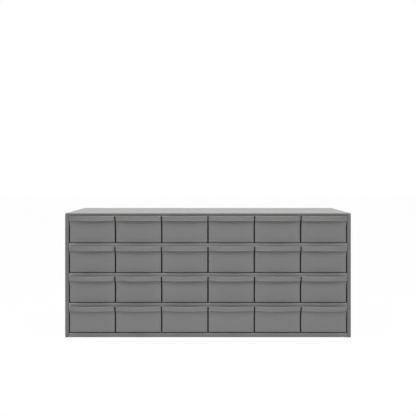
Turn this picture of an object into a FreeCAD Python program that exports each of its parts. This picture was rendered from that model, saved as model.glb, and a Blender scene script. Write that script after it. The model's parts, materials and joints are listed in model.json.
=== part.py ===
import FreeCAD, Part
import math
import os

os.makedirs("parts", exist_ok=True)

# A steel small-parts cabinet with a grid of identical drawers.
# Millimetres, +Z up. The drawers face -Y and +X is to the right of someone who faces them.
# The origin is the centre of the whole part's box, on the surface that it stands on.

# Carcass
cabinet_width = 857.0
cabinet_depth = 295.0
cabinet_height = 372.2
base_height = 12.7
rows = 4
columns = 6

# Sheet gauges
shell_sheet = 1.0
panel_sheet = 0.8
drawer_sheet = 0.7

# Front frame, rear frame and base pan
side_flange_width = 11.0
top_rail_height = 9.3
hem_width = 7.0
rear_flange_width = 12.0
base_return = 14.0
shell_bend = 2.2
plinth_bend = 2.0
corner_seam = 0.5

# Shelves and partitions
shelf_lip_height = 11.5
shelf_bend = 3.6
shelf_flange_height = 8.0
shelf_flange_setback = 22.0
partition_setback = 16.0
lap_share = 0.5

# Clearances
fit_gap = 0.2
slide_gap = 0.3
drawer_gap = 3.6
end_gap = 2.6
rear_gap = 0.5
stop_gap = 0.3
overrun = 5.0

# Drawer tray
tray_drop = 18.0
tray_hem_height = 6.0
tray_bend = 1.5
glide_height = 1.7
glide_width = 6.0
glide_inset = 16.0
drawer_travel = 222.0
tab_length = 12.0
tab_overlap = 3.0
tab_corner = 3.0
divider_slots = 4
divider_slot_width = 1.6
divider_slot_margin = 9.0

# Drawer front
front_recess = 3.0
face_bend = 2.0
floor_flange = 12.0
front_headroom = 7.4
band_height = 14.0
sweep_height = 23.8
pull_reach_end = 15.0
pull_reach_middle = 25.0
bead_proud = 0.7
cheek_depth = 10.0
cheek_drop = 24.0
cheek_slant_drop = 10.0
cheek_rim = 4.0

# Worked out from the sizes above
half_width = cabinet_width / 2
row_pitch = (cabinet_height - base_height - shell_sheet) / rows
front_y = (pull_reach_middle - front_recess - cabinet_depth) / 2
face_y = front_y + front_recess
back_y = front_y + cabinet_depth
wall_x = half_width - shell_sheet
opening_x = half_width - side_flange_width
rail_z = cabinet_height - top_rail_height
ceiling_z = cabinet_height - shell_sheet
under_ceiling_z = ceiling_z - fit_gap
bend_inside = shell_bend - shell_sheet
nest_x = wall_x - fit_gap
hem_depth = 2 * shell_sheet
back_panel_y = back_y - shell_sheet - panel_sheet
ride_height = slide_gap + glide_height
column_pitch = (2 * (opening_x - end_gap) + drawer_gap) / columns
front_width = column_pitch - drawer_gap
front_height = row_pitch - front_headroom
nose_height = front_height - band_height
face_flat_top = nose_height - sweep_height
cheek_slant_top = front_height - cheek_slant_drop
cheek_top = front_height - cheek_drop
tray_height = front_height - tray_drop
tray_half = front_width / 2 - drawer_sheet
tray_rear = back_panel_y - rear_gap - face_y
bead_radius = bead_proud + drawer_sheet / 2
pull_bow = pull_reach_middle - pull_reach_end


def column_x(column):
    """Middle of a column of drawers, counted from 1 at the left."""
    return (column - (columns + 1) / 2) * column_pitch


def support_z(row):
    """Height of the surface that a row of drawers slides on, counted from 1 at the top."""
    return base_height + (rows - row) * row_pitch


def block(x_from, x_to, y_from, y_to, z_from, z_to):
    corner = FreeCAD.Vector(x_from, y_from, z_from)
    return Part.makeBox(x_to - x_from, y_to - y_from, z_to - z_from, corner)


def edge_is(edge, **place):
    """True if both ends of the edge lie at the stated x, y or z; x is taken without its sign."""
    for vertex in edge.Vertexes:
        spot = {"x": abs(vertex.Point.x), "y": vertex.Point.y, "z": vertex.Point.z}
        if any(abs(spot[axis] - value) > fit_gap / 2 for axis, value in place.items()):
            return False
    return True


def round_edges(shape, radius, *places):
    chosen = [edge for edge in shape.Edges if any(edge_is(edge, **place) for place in places)]
    return shape.makeFillet(radius, chosen)


def mirrored_pair(shape):
    """The shape and its mirror image at the other side of the cabinet."""
    return [shape, shape.mirror(FreeCAD.Vector(), FreeCAD.Vector(1, 0, 0))]


def save(name, shapes):
    Part.makeCompound(shapes).exportStep("parts/" + name + ".step")


def bent_block(inset, z_from):
    """The carcass's outside, or with an inset its inside, with rounded bends."""
    side = half_width - inset
    front = front_y + inset
    back = back_y - inset
    top = cabinet_height - inset
    solid = block(-side, side, front, back, z_from, top)
    return round_edges(
        solid,
        shell_bend - inset,
        {"x": side, "y": front},
        {"x": side, "y": back},
        {"x": side, "z": top},
        {"y": front, "z": top},
        {"y": back, "z": top},
    )


def hemmed_bar(bar, thickness, *places):
    """A folded-over edge: a bar with the named long edges rounded almost to its middle."""
    return round_edges(bar, thickness / 2 - fit_gap / 2, *places)


def cabinet_shell():
    """Top and both sides folded from one sheet, with a hemmed frame in front and flanges behind."""
    seam_z = cabinet_height - shell_bend - fit_gap
    hem_y = front_y + hem_depth
    hem_x = opening_x + hem_width
    rail_x = opening_x - corner_seam
    rear_x = half_width - rear_flange_width
    rear_z = cabinet_height - rear_flange_width
    sheet = bent_block(0, 0).cut(bent_block(shell_sheet, -overrun))
    cut_y = front_y - overrun
    front_window = block(-rail_x, rail_x, cut_y, hem_y, -overrun, rail_z + hem_width / 2)
    column_window = block(rail_x, opening_x + hem_width / 2, cut_y, hem_y, -overrun, seam_z)
    rear_window = block(-rear_x, rear_x, back_panel_y, back_y + overrun, -overrun, rear_z)
    column_hem = hemmed_bar(
        block(opening_x, hem_x, front_y, hem_y, 0, seam_z),
        hem_depth,
        {"x": opening_x, "y": front_y},
        {"x": opening_x, "y": hem_y},
    )
    rail_hem = hemmed_bar(
        block(-rail_x, rail_x, front_y, hem_y, rail_z, rail_z + hem_width),
        hem_depth,
        {"y": front_y, "z": rail_z},
        {"y": hem_y, "z": rail_z},
    )
    sheet = sheet.cut([front_window, rear_window] + mirrored_pair(column_window))
    return sheet.fuse(mirrored_pair(column_hem) + [rail_hem]).removeSplitter()


def back_panel():
    side = nest_x - bend_inside
    return block(-side, side, back_panel_y, back_y - shell_sheet, 0, ceiling_z - bend_inside)


def pan_block(inset, z_from, z_to):
    """Plan shape of the base pan: a full-width body and a tongue between the side flanges."""
    body_x = nest_x - inset
    tongue_x = opening_x - corner_seam - inset
    body_y = front_y + hem_depth + fit_gap + inset
    rear = back_panel_y - inset
    body = block(-body_x, body_x, body_y, rear, z_from, z_to)
    tongue = block(-tongue_x, tongue_x, front_y + inset, rear, z_from, z_to)
    return body.fuse(tongue).removeSplitter()


def base_panel():
    """Floor of the bottom row, folded down to a plinth with a return that stands on the floor."""
    pan = pan_block(0, 0, base_height)
    pan = round_edges(pan, plinth_bend, {"y": front_y, "z": base_height}, {"y": front_y, "z": 0})
    hollow = pan_block(shell_sheet, shell_sheet, base_height - shell_sheet)
    window = pan_block(base_return, -overrun, 2 * shell_sheet)
    return pan.cut([hollow, window])


def side_liners():
    """A channel behind each side flange that closes the side and carries the shelf ends."""
    front = front_y + hem_depth
    web_x = opening_x + panel_sheet
    leg_top = ceiling_z - bend_inside
    web = block(opening_x, web_x, front, back_panel_y, base_height, under_ceiling_z)
    front_leg = block(web_x, nest_x, front, front + panel_sheet, base_height, leg_top)
    rear_leg = block(web_x, nest_x, back_panel_y - panel_sheet, back_panel_y, base_height, leg_top)
    liner = web.fuse([front_leg, rear_leg]).removeSplitter()
    return mirrored_pair(liner)


def lap_y():
    """Where the half laps of the shelves and the partitions meet."""
    return front_y + lap_share * cabinet_depth


def shelf_rail(top):
    """Front of a shelf: the sheet bends down at the front plane and its lower edge is folded over."""
    rail_x = opening_x - corner_seam
    low = top - shelf_lip_height
    rear = front_y + shelf_bend
    hem_y = front_y + 2 * panel_sheet
    outside = block(-rail_x, rail_x, front_y, rear, low, top)
    outside = round_edges(outside, shelf_bend - fit_gap, {"y": front_y, "z": top})
    in_y = front_y + panel_sheet
    under = top - panel_sheet
    inside = block(-half_width, half_width, in_y, back_y, low - overrun, under)
    inside = round_edges(inside, shelf_bend - fit_gap - panel_sheet, {"y": in_y, "z": under})
    hem = hemmed_bar(
        block(-rail_x, rail_x, front_y, hem_y, low, top - shelf_bend),
        2 * panel_sheet,
        {"y": front_y, "z": low},
        {"y": hem_y, "z": low},
    )
    edge = block(-half_width, half_width, front_y, rear, low, low + panel_sheet)
    return outside.cut([inside, edge]).fuse(hem)


def shelf(row):
    """Sheet that carries a row, with a front rail, end flanges, a rear flange and lap slots."""
    top = support_z(row)
    under = top - panel_sheet
    flange_y = front_y + shelf_flange_setback
    flange_z = top - shelf_flange_height
    plate = block(-opening_x, opening_x, front_y + shelf_bend, back_panel_y, under, top)
    rear_y = back_panel_y - panel_sheet
    rear_flange = block(-opening_x, opening_x, rear_y, back_panel_y, flange_z, top)
    end_flange = block(opening_x - panel_sheet, opening_x, flange_y, back_panel_y, flange_z, top)
    solid = plate.fuse([shelf_rail(top), rear_flange] + mirrored_pair(end_flange)).removeSplitter()
    half_slot = panel_sheet / 2 + fit_gap
    low = flange_z - overrun
    high = top + overrun
    slots = []
    for column in range(1, columns):
        x = column_x(column) + column_pitch / 2
        slots.append(block(x - half_slot, x + half_slot, lap_y(), back_y, low, high))
    return solid.cut(slots)


def partition(column):
    """Upright sheet between two columns, slotted from the front to lap with the shelves."""
    x = column_x(column) + column_pitch / 2
    half = panel_sheet / 2
    front = front_y + partition_setback
    plate = block(x - half, x + half, front, back_panel_y, base_height, under_ceiling_z)
    slot_front = front - overrun
    slot_back = lap_y() + fit_gap
    slots = []
    for row in range(1, rows):
        top = support_z(row) + fit_gap
        under = support_z(row) - panel_sheet - fit_gap
        slots.append(block(x - overrun, x + overrun, slot_front, slot_back, under, top))
    return plate.cut(slots)


def stop_tab():
    """Plate welded inside a tray's hem that meets the rail above when the drawer is pulled right out."""
    front = hem_depth - front_recess + stop_gap + drawer_travel
    top = rail_z - support_z(1) + tab_overlap
    low = tray_height - tray_hem_height
    outer = tray_half - 2 * drawer_sheet
    tab = block(outer - drawer_sheet, outer, front, front + tab_length, low, top)
    return round_edges(tab, tab_corner, {"y": front + tab_length, "z": top})


def glide_ribs(inset, z_from, z_to):
    """The two ribs pressed down from a tray's floor, or with an inset of a sheet their insides."""
    middle = tray_half - glide_inset
    half = glide_width / 2 - inset
    front = floor_flange + glide_inset + inset
    back = tray_rear - glide_inset - inset
    return mirrored_pair(block(middle - half, middle + half, front, back, z_from, z_to))


def tray():
    """Open box of the drawer behind its front, in the drawer's own frame.

    The front's flat face lies at y 0 there, and the surface under the drawer at z 0.
    """
    floor = ride_height
    inner = tray_half - drawer_sheet
    hem_inner = inner - drawer_sheet
    front = drawer_sheet + fit_gap
    rear = tray_rear - drawer_sheet
    hem_low = tray_height - tray_hem_height
    body = block(-tray_half, tray_half, floor_flange, tray_rear, floor, tray_height)
    body = round_edges(body, tray_bend, {"x": tray_half, "z": floor}, {"y": tray_rear, "z": floor})
    cavity_top = tray_height + overrun
    cavity = block(-inner, inner, floor_flange - overrun, rear, floor + drawer_sheet, cavity_top)
    side_end = block(inner, tray_half, front, floor_flange, floor + face_bend, tray_height)
    side_hem = block(hem_inner, inner, front, rear, hem_low, tray_height)
    rear_hem = block(-inner, inner, rear - drawer_sheet, rear, hem_low, tray_height)
    side_pieces = mirrored_pair(side_end) + mirrored_pair(side_hem)
    ribs = glide_ribs(0, slide_gap, floor)
    grooves = glide_ribs(drawer_sheet, slide_gap + drawer_sheet, floor + drawer_sheet)
    body = body.cut(cavity).fuse(side_pieces + [rear_hem] + ribs)
    body = body.cut(grooves).removeSplitter()
    slot_pitch = (tray_rear - floor_flange) / (divider_slots + 1)
    slots = []
    slot_low = floor + divider_slot_margin
    slot_top = hem_low - divider_slot_margin / 2
    reach = tray_half + overrun
    for number in range(1, divider_slots + 1):
        slot_front = floor_flange + number * slot_pitch - divider_slot_width / 2
        slot_back = slot_front + divider_slot_width
        slots.append(block(-reach, reach, slot_front, slot_back, slot_low, slot_top))
    return body.cut(slots)


def section_wire(x, outline):
    """Closed wire at x from points (y, z); a pair holding two points is an arc through both."""
    def spot(pair):
        return FreeCAD.Vector(x, pair[0], pair[1])

    edges = []
    here = outline[-1][-1] if isinstance(outline[-1][0], tuple) else outline[-1]
    for step in outline:
        if isinstance(step[0], tuple):
            edges.append(Part.Arc(spot(here), spot(step[0]), spot(step[1])).toShape())
            here = step[1]
        else:
            edges.append(Part.LineSegment(spot(here), spot(step)).toShape())
            here = step
    return Part.Wire(edges)


def on_circle(centre, radius, angle):
    return (centre[0] + radius * math.cos(angle), centre[1] + radius * math.sin(angle))


def arc_step(centre, radius, angle_from, angle_to):
    """An arc's middle and end, for an outline."""
    middle = (angle_from + angle_to) / 2
    return (on_circle(centre, radius, middle), on_circle(centre, radius, angle_to))


def bend_centre():
    return (face_bend, ride_height + face_bend)


def sweep_arc(reach):
    """Centre, radius and end angle of the concave sweep from the flat face out into the nose bead."""
    out = reach - bead_radius
    rise = nose_height + bead_radius / 2 - face_flat_top
    radius = (out * out + rise * rise) / (2 * out)
    return (-radius, face_flat_top), radius, math.atan2(rise, radius - out)


def face_outline(reach):
    """Section of the front below its band: the floor flange, the bend, the flat face and the sweep."""
    centre, radius, end_angle = sweep_arc(reach)
    return [
        (floor_flange, ride_height),
        (face_bend, ride_height),
        arc_step(bend_centre(), face_bend, -math.pi / 2, -math.pi),
        (0.0, face_flat_top),
        arc_step(centre, radius, 0, end_angle),
        on_circle(centre, radius + drawer_sheet, end_angle),
        arc_step(centre, radius + drawer_sheet, end_angle, 0),
        (drawer_sheet, ride_height + face_bend),
        arc_step(bend_centre(), face_bend - drawer_sheet, -math.pi, -math.pi / 2),
        (floor_flange, ride_height + drawer_sheet),
    ]


def band_outline():
    """Section of the label band: a plate between two rolled beads, at the middle of the bow."""
    axis_y = bead_radius - pull_reach_middle
    meets = math.acos(drawer_sheet / 2 / bead_radius)
    nose_axis = (axis_y, nose_height + bead_radius)
    top_axis = (axis_y, front_height - bead_radius)
    return [
        on_circle(top_axis, bead_radius, math.pi + meets),
        arc_step(top_axis, bead_radius, math.pi + meets, math.pi / 2),
        arc_step(top_axis, bead_radius, math.pi / 2, -meets),
        on_circle(nose_axis, bead_radius, meets),
        arc_step(nose_axis, bead_radius, meets, -math.pi / 2),
        arc_step(nose_axis, bead_radius, -math.pi / 2, -math.pi - meets),
    ]


def cheek_outline():
    """Side plate of the front: it follows the middle of the front's sheet, then laps the tray side."""
    centre, radius, end_angle = sweep_arc(pull_reach_end)
    middle = drawer_sheet / 2
    axis_y = bead_radius - pull_reach_end
    return [
        (cheek_depth, ride_height + middle),
        (face_bend, ride_height + middle),
        arc_step(bend_centre(), face_bend - middle, -math.pi / 2, -math.pi),
        (middle, face_flat_top),
        arc_step(centre, radius + middle, 0, end_angle),
        (axis_y, front_height - bead_radius),
        (axis_y + cheek_rim, cheek_slant_top),
        (cheek_depth, cheek_top),
    ]


def band():
    """The label band, bowed in plan about an upright axis and cut off square at the front's ends."""
    half = front_width / 2
    bow_radius = (half * half + pull_bow * pull_bow) / (2 * pull_bow)
    axis = FreeCAD.Vector(0, bow_radius - pull_reach_middle, 0)
    spread = math.degrees(math.asin((half + overrun) / bow_radius))
    section = Part.Face(section_wire(0, band_outline()))
    section.rotate(axis, FreeCAD.Vector(0, 0, 1), -spread)
    ring = section.revolve(axis, FreeCAD.Vector(0, 0, 1), 2 * spread)
    front = -pull_reach_middle - overrun
    return ring.common(block(-half, half, front, floor_flange, 0, row_pitch))


def drawer_front():
    """Formed front with a bowed label band and side cheeks, in the drawer's own frame."""
    half = front_width / 2
    sections = [
        section_wire(-half, face_outline(pull_reach_end)),
        section_wire(0, face_outline(pull_reach_middle)),
        section_wire(half, face_outline(pull_reach_end)),
    ]
    cheek = Part.Face(section_wire(half - drawer_sheet, cheek_outline()))
    cheek = cheek.extrude(FreeCAD.Vector(drawer_sheet, 0, 0))
    return Part.makeLoft(sections, True).fuse([band()] + mirrored_pair(cheek))


def placed(shapes, row, column):
    """Copies of a drawer's solids at its place in the cabinet."""
    moved = [shape.copy() for shape in shapes]
    for shape in moved:
        shape.translate(FreeCAD.Vector(column_x(column), face_y, support_z(row)))
    return moved


save("cabinet_shell", [cabinet_shell()])
save("back_panel", [back_panel()])
save("base_panel", [base_panel()])
save("side_liners", side_liners())
for row in range(1, rows):
    save("shelf_" + str(row), [shelf(row)])
for column in range(1, columns):
    save("partition_" + str(column), [partition(column)])

tray_solids = [tray()] + mirrored_pair(stop_tab())
front_solids = [drawer_front()]
for row in range(1, rows + 1):
    for column in range(1, columns + 1):
        place = "_r" + str(row) + "c" + str(column)
        save("tray" + place, placed(tray_solids, row, column))
        save("front" + place, placed(front_solids, row, column))
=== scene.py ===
import json
import math

import bmesh
import bpy
from bpy.props import FloatProperty, FloatVectorProperty, PointerProperty
from mathutils import Matrix, Vector

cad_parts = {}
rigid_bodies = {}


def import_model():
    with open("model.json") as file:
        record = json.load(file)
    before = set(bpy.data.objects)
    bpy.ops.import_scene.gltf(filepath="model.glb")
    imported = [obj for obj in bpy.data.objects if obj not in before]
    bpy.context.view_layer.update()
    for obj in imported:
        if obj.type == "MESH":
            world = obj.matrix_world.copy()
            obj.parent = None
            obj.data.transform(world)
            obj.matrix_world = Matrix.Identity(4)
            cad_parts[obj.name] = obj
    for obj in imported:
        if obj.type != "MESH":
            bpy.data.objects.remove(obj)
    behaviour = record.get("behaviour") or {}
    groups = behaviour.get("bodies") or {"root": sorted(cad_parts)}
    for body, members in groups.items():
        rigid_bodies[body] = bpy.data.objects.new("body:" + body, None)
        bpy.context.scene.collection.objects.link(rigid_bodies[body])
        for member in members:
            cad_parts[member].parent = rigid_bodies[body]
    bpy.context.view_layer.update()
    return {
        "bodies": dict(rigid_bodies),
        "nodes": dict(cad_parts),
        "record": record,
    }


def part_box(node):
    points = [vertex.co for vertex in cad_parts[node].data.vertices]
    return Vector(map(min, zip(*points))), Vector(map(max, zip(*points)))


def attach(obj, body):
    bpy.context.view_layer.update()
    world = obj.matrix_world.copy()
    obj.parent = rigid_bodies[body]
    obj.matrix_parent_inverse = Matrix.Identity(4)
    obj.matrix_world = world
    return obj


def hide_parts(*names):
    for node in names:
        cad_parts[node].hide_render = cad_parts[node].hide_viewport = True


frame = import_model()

bl_info = {
    "name": "Small Parts Drawer Cabinet",
    "version": (1, 0, 0),
    "blender": (4, 5, 0),
    "location": "View3D > Sidebar > Cabinet",
    "description": "Folds the sheet steel of a small parts drawer cabinet and finishes it in grey enamel",
    "category": "Object",
}

# Places that the frame gives, in metres
shell_low, shell_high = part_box("cabinet_shell")
front_plane = shell_low.y
back_plane = shell_high.y
shell_top = shell_high.z
half_width = shell_high.x
sample_front_low, sample_front_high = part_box("front_r1c1")
face_recess = 0.003
face_plane = front_plane + face_recess
drawer_places = sorted(name[len("drawer_"):] for name in frame["bodies"] if name.startswith("drawer_"))

# Mesh fineness, in steps
bend_steps = 5
hem_steps = 8
corner_steps = 6
bow_steps = 28
sweep_steps = 14
cheek_steps = 3
bead_sides = 16

# Angles over which an edge stays sharp or gets a rounded rim
sharp_angle = math.radians(32)
rim_angle = math.radians(50)

# Distances within which points count as one, in metres
match_tolerance = 0.00005
cut_tolerance = 0.000001

# Sizes of the patterns in the enamel, in metres
peel_size = 0.0011
wave_size = 0.085
mottle_size = 0.030
smudge_size = 0.018
grain_size = 0.0030

# Where each of the enamel's masks starts, and where it is full
edge_range = (0.03, 0.22)
cloud_range = (0.30, 0.72)
thin_range = (0.52, 0.85)
upward_range = (0.80, 0.98)
dust_range = (0.75, 1.35)

# How much the grain breaks up the polished edges
grain_share = 0.35

# How much smudges and dust roughen the enamel, and how much polish smooths it
smudge_haze = 0.10
dust_haze = 0.8
polish_gloss = 0.10

# Soft lamps, each with its width and depth and its place, in metres
overhead_size = (2.4, 0.7)
overhead_place = Vector((0.0, -0.40, 2.2))
front_size = (2.6, 0.9)
front_place = Vector((0.0, -1.9, 1.7))
level_size = (3.0, 1.0)
level_place = Vector((0.0, -2.6, 0.75))

# The studio paper's reach to each side, in metres, and the width of the camera's sensor, in millimetres
paper_reach = 12.0
sensor_width = 36.0

# How far back a reflection points before it starts to see the backdrop, and when it sees it in full
backdrop_start = 0.1
backdrop_full = 0.6
white = (1.0, 1.0, 1.0, 1.0)


def length(name, description, default):
    """A size in metres that a user can change."""
    return FloatProperty(name=name, description=description, default=default, unit="LENGTH", precision=5)


def colour(name, description, default):
    """A colour that a user can change."""
    return FloatVectorProperty(
        name=name, description=description, default=default, subtype="COLOR", size=3, min=0.0, max=1.0
    )


def amount(name, description, default):
    """A plain number that a user can change."""
    return FloatProperty(name=name, description=description, default=default)


class CarcassSizes(bpy.types.PropertyGroup):
    """Sheet and fold sizes of the cabinet's outer carcass."""

    sheet: length("Sheet", "Thickness of the carcass sheet", 0.00095)
    bend: length("Bend", "Outside radius of the carcass bends", 0.0017)
    side_flange: length("Side flange", "Width of the upright front flanges", 0.011)
    top_rail: length("Top rail", "Height of the front rail under the top", 0.0093)
    hem_radius: length("Hem radius", "Outside radius of the folded front edge", 0.001)
    hem_width: length("Hem width", "Width of the fold behind the front edge", 0.007)
    rear_flange: length("Rear flange", "Width of the flanges round the back", 0.012)
    seam: length("Seam", "Width of the slit between the rail and a side flange", 0.0009)
    seam_drop: length("Seam drop", "Distance from the top down to the seam's upper end", 0.0019)
    rim: length("Rim", "Rounding of the cut sheet edges", 0.00018)


class FrontSizes(bpy.types.PropertyGroup):
    """Sheet and fold sizes of one drawer front."""

    sheet: length("Sheet", "Thickness of the drawer sheet", 0.0007)
    corner: length("Corner", "Radius where the face turns into a side cheek", 0.0018)
    band_corner: length("Band corner", "Radius at the band's two ends", 0.0006)
    bottom_bend: length("Bottom bend", "Outside radius under the face", 0.0012)
    band: length("Band", "Height of the upright band with its two beads", 0.0140)
    sweep: length("Sweep", "Height of the concave sweep under the band", 0.0238)
    reach_middle: length("Reach, middle", "How far the band stands out in the middle",
                         face_plane - sample_front_low.y)
    reach_end: length("Reach, ends", "How far the band stands out at its ends", 0.015)
    lean: length("Lean", "How much further the upper bead stands out than the lower one", 0.0017)
    bead: length("Bead", "Radius of the two beads", 0.00125)
    cheek_depth: length("Cheek depth", "How far the cheeks lap the tray sides", 0.010)
    cheek_drop: length("Cheek drop", "From the front's top to where the cheek starts to slant", 0.024)
    slant_drop: length("Slant drop", "From the front's top to where the slant gets steeper", 0.010)
    cheek_rim: length("Cheek rim", "Width of the cheek beside the band", 0.004)
    rim: length("Rim", "Rounding of the cut sheet edges", 0.00015)


class EnamelFinish(bpy.types.PropertyGroup):
    """Colours and surface of the baked enamel. The drawer colour is the enamel's own colour; shell and base
    are darker copies of it, as painted shade, and inner is a lighter copy, as painted light.
    """

    # One enamel covers the whole cabinet: shell is a darker copy as painted shade on the frame and back,
    # inner a lighter copy as painted light on the shelf rails, base a darker copy as painted shade on the
    # bottom rail
    shell: colour("Shell", "Enamel on the folded shell and the back", (0.153, 0.154, 0.151))
    inner: colour("Inner sheets", "Enamel on the shelves, partitions and liners", (0.249, 0.250, 0.247))
    base: colour("Base", "Enamel on the base pan", (0.202, 0.203, 0.200))
    drawer: colour("Drawers", "Enamel on the drawers", (0.233, 0.234, 0.231))
    dust: colour("Dust", "Dust that settles on surfaces that face up", (0.42, 0.41, 0.39))
    scuff: colour("Scuff", "Enamel that is polished thin along the edges", (0.33, 0.33, 0.325))
    roughness: amount("Roughness", "Average roughness of the enamel", 0.31)
    drift: amount("Drift", "How far the shade drifts over a sheet, up and down", 0.035)
    wear: amount("Wear", "How strongly polished edges show", 0.55)
    dust_share: amount("Dust share", "How strongly the dust shows", 0.09)
    edge_reach: length("Edge reach", "How far from an edge the enamel is polished", 0.0012)
    peel_depth: length("Peel depth", "Height of the fine orange-peel texture", 0.000004)
    wave_depth: length("Wave depth", "Height of the slow waviness of the pressed sheet", 0.00006)


class StudioSetup(bpy.types.PropertyGroup):
    """Camera and lamps."""

    distance: length("Distance", "From the lens to the cabinet's front plane", 1.890)
    height: length("Height", "Height of the lens over the floor", 0.488)
    lens: amount("Lens", "Focal length on a 36 mm wide sensor", 54.57)
    shift: amount("Shift", "Vertical lens shift", -0.0805)
    overhead: amount("Overhead", "Power of the soft lamp over the cabinet, in watts", 50.0)
    front: amount("Front", "Power of the wide soft lamp high in front, in watts", 16.0)
    level: amount("Level", "Power of the wide soft lamp behind the camera, in watts", 12.0)
    sky: amount("Sky", "Even light from all round", 0.25)
    paper: colour("Paper", "Shade of the floor in the light that it sends back", (0.68, 0.68, 0.68))
    clean: amount("Clean", "Share of pure white that the camera sees on the floor", 0.985)


def smooth(mesh):
    """Shades a mesh smooth, with its sharp edges kept."""
    for polygon in mesh.polygons:
        polygon.use_smooth = True
    mesh.set_sharp_from_angle(angle=sharp_angle)


def make_piece(name, mesh, body, slot, material, *nodes):
    """Links a finished mesh as a piece that rides on a body and stands for CAD nodes."""
    mesh.materials.append(material)
    piece = bpy.data.objects.new(name, mesh)
    bpy.context.scene.collection.objects.link(piece)
    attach(piece, body)
    if nodes:
        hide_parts(*nodes)
    return piece


def round_rims(piece, width):
    """Rounds the cut edges of a piece's sheet."""
    bevel = piece.modifiers.new("rims", "BEVEL")
    bevel.width = width
    bevel.segments = 2
    bevel.limit_method = "ANGLE"
    bevel.angle_limit = rim_angle
    bevel.use_clamp_overlap = True
    normals = piece.modifiers.new("normals", "WEIGHTED_NORMAL")
    normals.keep_sharp = True


def grid_faces(work, rows):
    """Quads between rows of vertices; the rows run upwards and each row from left to right."""
    faces = []
    for lower, upper in zip(rows, rows[1:]):
        for j in range(len(lower) - 1):
            faces.append(work.faces.new((lower[j], lower[j + 1], upper[j + 1], upper[j])))
    return faces


def thicken(work, faces, sheet):
    """Gives a skin its sheet thickness, inwards."""
    work.normal_update()
    bmesh.ops.solidify(work, geom=faces, thickness=sheet)


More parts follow.
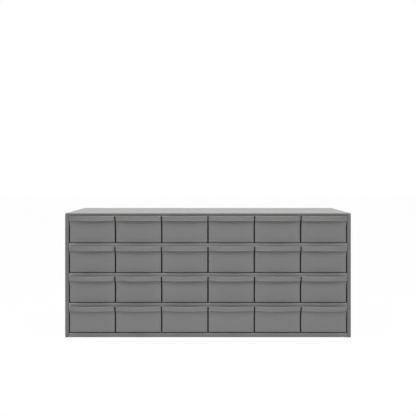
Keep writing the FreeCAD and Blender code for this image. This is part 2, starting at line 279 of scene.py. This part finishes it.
class FrontShape:
    """Works out the skin of a drawer front from its sizes, in the drawer's own place."""

    def __init__(self, sizes, half, height, floor_reach):
        self.sizes = sizes
        self.half = half
        self.height = height
        self.floor_reach = floor_reach
        self.bow = sizes.reach_middle - sizes.reach_end
        self.bow_radius = (half * half + self.bow * self.bow) / (2 * self.bow)
        self.nose = height - sizes.band
        self.flat_top = self.nose - sizes.sweep

    def reach(self, x):
        """How far the bead's front stands out at x."""
        fall = self.bow_radius - math.sqrt(self.bow_radius * self.bow_radius - x * x)
        return self.sizes.reach_middle - fall

    def axis_y(self, x, z):
        """Where the beads' axes lie at x; the band between them leans forward."""
        low = self.nose + self.sizes.bead
        share = (z - low) / (self.height - self.sizes.bead - low)
        return self.sizes.bead - self.reach(x) + self.sizes.lean * (1 - share)

    def bend_y(self, x, z):
        """The bottom bend and the flat face over it, which are the same at every x."""
        radius = self.sizes.bottom_bend
        drop = max(radius - z, 0.0)
        return radius - math.sqrt(radius * radius - drop * drop)

    def sweep_y(self, x, z):
        """The concave arc from the flat face out to the lower bead."""
        out = -self.axis_y(x, self.nose + self.sizes.bead)
        rise = self.nose + self.sizes.bead / 2 - self.flat_top
        radius = (out * out + rise * rise) / (2 * out)
        return math.sqrt(radius * radius - (z - self.flat_top) ** 2) - radius

    def band_y(self, x, z):
        """The bowed band, half a sheet in front of the beads' axes."""
        return self.axis_y(x, z) - self.sizes.sheet / 2

    def levels(self):
        """Pairs of a height and the function that gives the skin's y there, from the bottom up."""
        sizes = self.sizes
        found = []
        for step in range(bend_steps + 1):
            angle = step / bend_steps * math.pi / 2
            found.append((sizes.bottom_bend * (1 - math.cos(angle)), self.bend_y))
        middle = (sizes.bottom_bend + self.flat_top) / 2
        found += [(middle, self.bend_y), (self.flat_top, self.bend_y)]
        rise = self.nose + sizes.bead / 4 - self.flat_top
        for step in range(1, sweep_steps + 1):
            share = math.sin(step / sweep_steps * math.pi / 2)
            found.append((self.flat_top + rise * share, self.sweep_y))
        band_low = self.nose + sizes.bead
        band_high = self.height - sizes.bead
        found += [(z, self.band_y) for z in (band_low, (band_low + band_high) / 2, band_high)]
        return found

    def cheek_end(self, z):
        """Rear edge of a cheek at height z: it slants forward towards the band."""
        sizes = self.sizes
        slant_low = self.height - sizes.cheek_drop
        slant_high = self.height - sizes.slant_drop
        edge_y = self.axis_y(self.half, self.height)
        corners = [
            (0.0, self.floor_reach),
            (sizes.bottom_bend, sizes.cheek_depth),
            (slant_low, sizes.cheek_depth),
            (slant_high, edge_y + sizes.cheek_rim),
            (self.height, edge_y + sizes.bead),
        ]
        for (low_z, low_y), (high_z, high_y) in zip(corners, corners[1:]):
            if z <= high_z:
                return low_y + (high_y - low_y) * (z - low_z) / (high_z - low_z)
        return high_y

    def right_half(self, z, place):
        """Points (x, y) from the middle out to the rear edge of the right cheek."""
        points = []
        corner = self.sizes.band_corner if place == self.band_y else self.sizes.corner
        turn = self.half - corner
        for step in range(bow_steps // 2 + 1):
            x = turn * step / (bow_steps // 2)
            points.append((x, place(x, z)))
        y = points[-1][1]
        tilt = 0.0
        if place != self.bend_y:
            before = points[-2]
            tilt = math.atan2(y - before[1], turn - before[0])
        radius = corner / (1 - math.sin(tilt))
        for step in range(1, corner_steps + 1):
            angle = tilt + (math.pi / 2 - tilt) * step / corner_steps
            across = turn + radius * (math.sin(angle) - math.sin(tilt))
            points.append((across, y + radius * (math.cos(tilt) - math.cos(angle))))
        start = points[-1][1]
        end = max(self.cheek_end(z), start + self.sizes.sheet)
        for step in range(1, cheek_steps + 1):
            points.append((self.half, start + (end - start) * step / cheek_steps))
        return points

    def skin(self, work):
        """The folded sheet: bottom flange, face, sweep and band, with a cheek at each side."""
        rows = []
        for z, place in self.levels():
            right = self.right_half(z, place)
            outline = [(-x, y) for x, y in reversed(right[1:])] + right
            rows.append([work.verts.new((x, y, z)) for x, y in outline])
        faces = grid_faces(work, rows)
        faces.append(work.faces.new(list(reversed(rows[0]))))
        thicken(work, faces, self.sizes.sheet)

    def bead_rod(self, work, z):
        """One rolled bead that follows the bow of the band, with softened ends."""
        radius = self.sizes.bead
        soft = radius / 3
        stations = [(-self.half, radius - soft)]
        inner = self.half - soft
        for step in range(bow_steps + 1):
            stations.append((inner * (2 * step / bow_steps - 1), radius))
        stations.append((self.half, radius - soft))
        rings = []
        for x, size in stations:
            tilt = math.asin(x / self.bow_radius)
            centre = Vector((x, self.axis_y(x, z), z))
            outward = Vector((math.sin(tilt), -math.cos(tilt), 0.0))
            if abs(x) == self.half:
                outward = Vector((0.0, -1.0, 0.0))
            ring = []
            for side in range(bead_sides):
                angle = side / bead_sides * 2 * math.pi
                offset = outward * math.cos(angle) + Vector((0.0, 0.0, 1.0)) * math.sin(angle)
                ring.append(work.verts.new(centre + offset * size))
            rings.append(ring)
        for ring, following in zip(rings, rings[1:]):
            for side in range(bead_sides):
                after = (side + 1) % bead_sides
                work.faces.new((ring[side], following[side], following[after], ring[after]))
        work.faces.new(rings[0])
        work.faces.new(list(reversed(rings[-1])))


def front_mesh(sizes):
    """One drawer front, centred in x, with its foot at z = 0 and its face at y = 0."""
    low, high = sample_front_low, sample_front_high
    shape = FrontShape(sizes, (high.x - low.x) / 2, high.z - low.z, high.y - face_plane)
    work = bmesh.new()
    shape.skin(work)
    shape.bead_rod(work, shape.nose + sizes.bead)
    shape.bead_rod(work, shape.height - sizes.bead)
    bmesh.ops.recalc_face_normals(work, faces=work.faces)
    mesh = bpy.data.meshes.new("drawer_front")
    work.to_mesh(mesh)
    work.free()
    smooth(mesh)
    return mesh


def matches(vert, axis, value):
    """Whether a vertex lies at that value of the axis."""
    return abs(vert.co[axis] - value) < match_tolerance


def faces_on(work, axis, value):
    """Faces that lie flat at that value of the axis."""
    return [face for face in work.faces if all(matches(vert, axis, value) for vert in face.verts)]


def split(work, faces, axis, value):
    """Cuts these faces along a plane square to the axis."""
    geometry = set(faces)
    for face in faces:
        geometry.update(face.edges)
        geometry.update(face.verts)
    point = Vector((0.0, 0.0, 0.0))
    point[axis] = value
    normal = Vector((0.0, 0.0, 0.0))
    normal[axis] = 1.0
    bmesh.ops.bisect_plane(work, geom=list(geometry), plane_co=point, plane_no=normal, dist=cut_tolerance)


def cut_window(work, plane, spans):
    """Removes the rectangles (x_from, x_to, z_from, z_to) from the faces that lie at y = plane."""
    for x_from, x_to, z_from, z_to in spans:
        for axis, value in ((0, x_from), (0, x_to), (2, z_from), (2, z_to)):
            split(work, faces_on(work, 1, plane), axis, value)
    doomed = []
    for face in faces_on(work, 1, plane):
        middle = face.calc_center_median()
        if any(a < middle.x < b and c < middle.z < d for a, b, c, d in spans):
            doomed.append(face)
    bmesh.ops.delete(work, geom=doomed, context="FACES")


def fold_hem(work, edges, inward, sizes):
    """Rolls free edges of the front through a half turn and lays the fold flat behind."""
    turned = edges
    radius = sizes.hem_radius
    angles = [math.pi * step / hem_steps for step in range(hem_steps + 1)]
    moves = []
    for angle, following in zip(angles, angles[1:]):
        across = radius * (math.sin(following) - math.sin(angle))
        back = radius * (math.cos(angle) - math.cos(following))
        moves.append(inward * across + Vector((0.0, back, 0.0)))
    moves.append(inward * -(sizes.hem_width - radius))
    for move in moves:
        result = bmesh.ops.extrude_edge_only(work, edges=turned)["geom"]
        verts = [item for item in result if isinstance(item, bmesh.types.BMVert)]
        turned = [item for item in result if isinstance(item, bmesh.types.BMEdge)]
        turned = [edge for edge in turned if all(vert in verts for vert in edge.verts)]
        bmesh.ops.translate(work, verts=verts, vec=move)


def free_edges(work, axis, value, plane):
    """Boundary edges at that value of the axis in the plane y = plane."""
    found = []
    for edge in work.edges:
        in_line = all(matches(vert, axis, value) and matches(vert, 1, plane) for vert in edge.verts)
        if edge.is_boundary and in_line:
            found.append(edge)
    return found


def shell_mesh(sizes):
    """Top and sides bent from one sheet, with a hemmed frame in front and flanges behind."""
    work = bmesh.new()
    bmesh.ops.create_cube(work, size=1.0)
    centre = Vector((0.0, (front_plane + back_plane) / 2, shell_top / 2))
    size = Vector((2 * half_width, back_plane - front_plane, shell_top))
    bmesh.ops.transform(
        work, matrix=Matrix.Translation(centre) @ Matrix.Diagonal(size.to_4d()), verts=work.verts
    )
    bmesh.ops.delete(work, geom=faces_on(work, 2, 0.0), context="FACES")
    bends = [edge for edge in work.edges if not edge.is_boundary]
    bmesh.ops.bevel(
        work, geom=bends, offset=sizes.bend, segments=bend_steps, profile=0.5, affect="EDGES",
        clamp_overlap=True,
    )
    opening = half_width - sizes.side_flange
    column = opening + sizes.hem_radius
    rail_end = opening - sizes.seam
    rail = shell_top - sizes.top_rail + sizes.hem_radius
    seam_top = shell_top - sizes.seam_drop
    slits = [(-column, -rail_end, rail, seam_top), (rail_end, column, rail, seam_top)]
    cut_window(work, front_plane, [(-column, column, 0.0, rail)] + slits)
    rear = half_width - sizes.rear_flange
    cut_window(work, back_plane, [(-rear, rear, 0.0, shell_top - sizes.rear_flange)])
    for side in (-1, 1):
        edges = free_edges(work, 0, side * column, front_plane)
        fold_hem(work, edges, Vector((-side, 0.0, 0.0)), sizes)
    fold_hem(work, free_edges(work, 2, rail, front_plane), Vector((0.0, 0.0, -1.0)), sizes)
    bmesh.ops.recalc_face_normals(work, faces=work.faces)
    thicken(work, list(work.faces), sizes.sheet)
    bmesh.ops.recalc_face_normals(work, faces=work.faces)
    mesh = bpy.data.meshes.new("folded_shell")
    work.to_mesh(mesh)
    work.free()
    smooth(mesh)
    return mesh


class Wire:
    """An output of a shader tree that can stand in a sum; the sum adds its Math nodes."""

    def __init__(self, paint, socket):
        self.paint = paint
        self.socket = socket

    def __add__(self, other):
        return self.paint.maths("ADD", self, other)

    __radd__ = __add__

    def __sub__(self, other):
        return self.paint.maths("SUBTRACT", self, other)

    def __rsub__(self, other):
        return self.paint.maths("SUBTRACT", other, self)

    def __mul__(self, other):
        return self.paint.maths("MULTIPLY", self, other)

    __rmul__ = __mul__

    def clamped(self):
        return self.paint.maths("MAXIMUM", self.paint.maths("MINIMUM", self, 1.0), 0.0)


class Paint:
    """Builds the shader tree of a material or a world."""

    def __init__(self, owner):
        owner.use_nodes = True
        self.tree = owner.node_tree
        self.tree.nodes.clear()

    def node(self, kind, settings, inputs, output=0):
        """Adds a node: its settings first, then the values or links of its sockets."""
        made = self.tree.nodes.new(kind)
        for name, value in settings.items():
            setattr(made, name, value)
        for name, value in inputs.items():
            if isinstance(value, Wire):
                self.tree.links.new(value.socket, made.inputs[name])
            else:
                made.inputs[name].default_value = value
        return Wire(self, made.outputs[output]) if len(made.outputs) else made

    def maths(self, operation, left, right):
        return self.node("ShaderNodeMath", {"operation": operation}, {0: left, 1: right})

    def noise(self, place, size, detail=2.0, roughness=0.5):
        """Noise with features of about that size in metres, as a value from 0 to 1."""
        sockets = {"Vector": place, "Scale": 1.0 / size, "Detail": detail, "Roughness": roughness}
        return self.node("ShaderNodeTexNoise", {}, sockets)

    def ramp(self, value, low, high):
        """0 below low, 1 above high, straight between."""
        inputs = {"Value": value, "From Min": low, "From Max": high, "To Min": 0.0, "To Max": 1.0}
        return self.node("ShaderNodeMapRange", {"clamp": True}, inputs)

    def blend(self, share, first, second):
        """Mixes two colours."""
        return self.node("ShaderNodeMix", {"data_type": "RGBA"}, {0: share, 6: first, 7: second}, 2)

    def direct_view(self):
        """1 for the rays that look straight at the backdrop, 0 for the light that it gives."""
        camera = self.node("ShaderNodeLightPath", {}, {}, "Is Camera Ray")
        clear = self.node("ShaderNodeLightPath", {}, {}, "Is Transmission Ray")
        return (camera + clear).clamped()


def opaque(rgb, factor=1.0):
    """A colour, made lighter or darker by the factor, in the four numbers that a socket takes."""
    return (rgb[0] * factor, rgb[1] * factor, rgb[2] * factor, 1.0)


def enamel(shade):
    """Baked enamel on sheet steel in a named shade, with orange peel, marks, dust and thin edges. The shell
    and base shades are darker copies of the drawer enamel, as painted shade, and the inner shade is a
    lighter copy, as painted light.
    """
    name = shade + "_enamel"
    if name in bpy.data.materials:
        return bpy.data.materials[name]
    finish = bpy.context.scene.enamel_finish
    # The shell and base colours darken the enamel as painted shade; the inner colour lightens it as painted
    # light
    rgb = getattr(finish, shade)
    material = bpy.data.materials.new(name)
    paint = Paint(material)
    place = paint.node("ShaderNodeTexCoord", {}, {}, "Object")
    peel = paint.noise(place, peel_size, detail=3.0, roughness=0.55)
    wave = paint.noise(place, wave_size, detail=1.0, roughness=0.4)
    mottle = paint.noise(place, mottle_size, detail=4.0, roughness=0.6)
    smudge = paint.noise(place, smudge_size, detail=5.0, roughness=0.65)
    grain = paint.noise(place, grain_size)
    normal = paint.node("ShaderNodeNewGeometry", {}, {}, "Normal")
    upward = paint.node("ShaderNodeSeparateXYZ", {}, {"Vector": normal}, "Z")
    soft_normal = paint.node("ShaderNodeBevel", {"samples": 4}, {"Radius": finish.edge_reach})
    flatness = paint.node(
        "ShaderNodeVectorMath", {"operation": "DOT_PRODUCT"}, {0: soft_normal, 1: normal}, "Value"
    )
    edge = paint.ramp(1.0 - flatness, *edge_range)
    clouds = paint.ramp(mottle, *cloud_range)
    tone = paint.blend(clouds, opaque(rgb, 1.0 - finish.drift), opaque(rgb, 1.0 + finish.drift))
    rubbed = paint.ramp(smudge + grain * grain_share, *thin_range)
    thin = (edge * rubbed * finish.wear).clamped()
    worn = paint.blend(thin, tone, opaque(finish.scuff))
    level = paint.ramp(upward, *upward_range)
    settled = level * paint.ramp(smudge + mottle, *dust_range) * finish.dust_share
    dusty = paint.blend(settled.clamped(), worn, opaque(finish.dust))
    smudged = finish.roughness - smudge_haze / 2 + smudge * smudge_haze
    roughness = smudged + settled * dust_haze - thin * polish_gloss
    relief = paint.node(
        "ShaderNodeBump", {}, {"Strength": 1.0, "Distance": finish.wave_depth, "Height": wave}
    )
    texture = paint.node(
        "ShaderNodeBump",
        {},
        {"Strength": 1.0, "Distance": finish.peel_depth, "Height": peel, "Normal": relief},
    )
    shader = paint.node(
        "ShaderNodeBsdfPrincipled",
        {},
        {"Base Color": dusty, "Roughness": roughness, "Normal": texture, "IOR": 1.5, "Metallic": 0.0},
    )
    paint.node("ShaderNodeOutputMaterial", {}, {"Surface": shader})
    return material


def coat(node, shade):
    """Gives a CAD node a shade of enamel; a shell or base shade paints shade, and an inner shade paints
    light, onto the one enamel.
    """
    materials = frame["nodes"][node].data.materials
    materials.clear()
    materials.append(enamel(shade))


class CABINET_OT_folded_shell(bpy.types.Operator):
    """Fold the top and both sides, with the hemmed frame in front"""

    bl_idname = "cabinet.folded_shell"
    bl_label = "Folded Shell"

    def execute(self, context):
        sizes = context.scene.carcass_sizes
        mesh = shell_mesh(sizes)
        # The shell's enamel is a darker copy of the drawer enamel, as painted shade
        piece = make_piece(
            "folded_shell", mesh, "cabinet", "cabinet_enamel", enamel("shell"), "cabinet_shell"
        )
        round_rims(piece, sizes.rim)
        return {"FINISHED"}


class CABINET_OT_inner_sheets(bpy.types.Operator):
    """Finish the back, base, liners, shelves and partitions"""

    bl_idname = "cabinet.inner_sheets"
    bl_label = "Inner Sheets"

    def execute(self, context):
        # The back and base pan get darker copies of the enamel as painted shade; every other sheet gets the
        # lighter inner copy as painted light
        painted_shade_copies = {"back_panel": "shell", "base_panel": "base"}
        for node in frame["record"]["behaviour"]["bodies"]["cabinet"]:
            if node != "cabinet_shell":
                coat(node, painted_shade_copies.get(node, "inner"))
        return {"FINISHED"}


class CABINET_OT_drawer_trays(bpy.types.Operator):
    """Finish the trays behind the drawer fronts"""

    bl_idname = "cabinet.drawer_trays"
    bl_label = "Drawer Trays"

    def execute(self, context):
        for place in drawer_places:
            coat("tray_" + place, "drawer")
        return {"FINISHED"}


class CABINET_OT_drawer_fronts(bpy.types.Operator):
    """Form every drawer front, with its bowed band and beads"""

    bl_idname = "cabinet.drawer_fronts"
    bl_label = "Drawer Fronts"

    def execute(self, context):
        sizes = context.scene.front_sizes
        pattern = front_mesh(sizes)
        for place in drawer_places:
            low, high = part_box("front_" + place)
            mesh = pattern.copy()
            mesh.transform(Matrix.Translation(((low.x + high.x) / 2, face_plane, low.z)))
            piece = make_piece(
                "drawer_front_" + place, mesh, "drawer_" + place, "drawer_enamel", enamel("drawer"),
                "front_" + place,
            )
            round_rims(piece, sizes.rim)
        bpy.data.meshes.remove(pattern)
        return {"FINISHED"}


def softbox(name, size, power, place, target):
    """A rectangular soft lamp that points at a target."""
    lamp = bpy.data.lights.new(name, "AREA")
    lamp.shape = "RECTANGLE"
    lamp.size, lamp.size_y = size
    lamp.energy = power
    holder = bpy.data.objects.new(name, lamp)
    holder.location = place
    holder.rotation_euler = (target - place).to_track_quat("-Z", "Y").to_euler()
    bpy.context.scene.collection.objects.link(holder)


def studio_paper(setup):
    """White paper that shows white to the camera and keeps a little of the cabinet's shadow."""
    material = bpy.data.materials.new("studio_floor")
    paint = Paint(material)
    glow = paint.node("ShaderNodeEmission", {}, {"Color": white, "Strength": 1.0})
    paper = paint.node("ShaderNodeBsdfDiffuse", {}, {"Color": opaque(setup.paper)})
    mixed = paint.node("ShaderNodeMixShader", {}, {0: paint.direct_view() * setup.clean, 1: paper, 2: glow})
    paint.node("ShaderNodeOutputMaterial", {}, {"Surface": mixed})
    return material


def lay_floor(setup):
    """A wide sheet of studio paper under the cabinet."""
    reach = paper_reach
    corners = [(-reach, -reach, 0.0), (reach, -reach, 0.0), (reach, reach, 0.0), (-reach, reach, 0.0)]
    mesh = bpy.data.meshes.new("studio_floor")
    mesh.from_pydata(corners, [], [(0, 1, 2, 3)])
    mesh.materials.append(studio_paper(setup))
    floor = bpy.data.objects.new("studio_floor", mesh)
    bpy.context.scene.collection.objects.link(floor)


def studio_world(sky):
    """White backdrop that glosses see only behind the cabinet, and dim light from all round."""
    world = bpy.data.worlds.new("studio_world")
    paint = Paint(world)
    towards = paint.node("ShaderNodeTexCoord", {}, {}, "Generated")
    back = paint.node("ShaderNodeSeparateXYZ", {}, {"Vector": towards}, "Y")
    behind = paint.ramp(back, backdrop_start, backdrop_full)
    gloss = paint.node("ShaderNodeLightPath", {}, {}, "Is Glossy Ray") * behind
    dim = paint.node("ShaderNodeBackground", {}, {"Color": white, "Strength": sky})
    bright = paint.node("ShaderNodeBackground", {}, {"Color": white, "Strength": 1.0})
    seen = (paint.direct_view() + gloss).clamped()
    mixed = paint.node("ShaderNodeMixShader", {}, {0: seen, 1: dim, 2: bright})
    paint.node("ShaderNodeOutputWorld", {}, {"Surface": mixed})
    return world


def photo_camera(setup):
    """A level camera in front of the cabinet, with the lens shifted down to frame it."""
    camera = bpy.data.objects.new("photo_camera", bpy.data.cameras.new("photo_camera"))
    camera.location = (0.0, front_plane - setup.distance, setup.height)
    camera.rotation_euler = (math.pi / 2, 0.0, 0.0)
    camera.data.sensor_width = sensor_width
    camera.data.lens = setup.lens
    camera.data.shift_y = setup.shift
    bpy.context.scene.collection.objects.link(camera)
    return camera


class CABINET_OT_studio_stage(bpy.types.Operator):
    """Set the floor, the lamps and the camera"""

    bl_idname = "cabinet.studio_stage"
    bl_label = "Studio Stage"

    def execute(self, context):
        scene = context.scene
        setup = scene.studio_setup
        lay_floor(setup)
        scene.world = studio_world(setup.sky)
        middle = Vector((0.0, 0.0, shell_top / 2))
        below = Vector((overhead_place.x, overhead_place.y, 0.0))
        softbox("overhead_softbox", overhead_size, setup.overhead, overhead_place, below)
        softbox("front_softbox", front_size, setup.front, front_place, middle)
        softbox("level_softbox", level_size, setup.level, level_place, middle)
        scene.camera = photo_camera(setup)
        scene.view_settings.view_transform = "Standard"
        return {"FINISHED"}


class CABINET_PT_panel(bpy.types.Panel):
    """Steps that dress the cabinet"""

    bl_label = "Drawer Cabinet"
    bl_idname = "CABINET_PT_panel"
    bl_space_type = "VIEW_3D"
    bl_region_type = "UI"
    bl_category = "Cabinet"

    def draw(self, context):
        for step in steps:
            self.layout.operator(step.bl_idname)


groups = {
    "carcass_sizes": CarcassSizes,
    "front_sizes": FrontSizes,
    "enamel_finish": EnamelFinish,
    "studio_setup": StudioSetup,
}
steps = [
    CABINET_OT_folded_shell,
    CABINET_OT_inner_sheets,
    CABINET_OT_drawer_trays,
    CABINET_OT_drawer_fronts,
    CABINET_OT_studio_stage,
]
classes = list(groups.values()) + steps + [CABINET_PT_panel]


def register():
    for item in classes:
        bpy.utils.register_class(item)
    for name, group in groups.items():
        setattr(bpy.types.Scene, name, PointerProperty(type=group))


def unregister():
    for name in groups:
        delattr(bpy.types.Scene, name)
    for item in reversed(classes):
        bpy.utils.unregister_class(item)


def main():
    register()
    bpy.ops.cabinet.folded_shell()
    bpy.ops.cabinet.inner_sheets()
    bpy.ops.cabinet.drawer_trays()
    bpy.ops.cabinet.drawer_fronts()
    bpy.ops.cabinet.studio_stage()


if __name__ == "__main__":
    main()
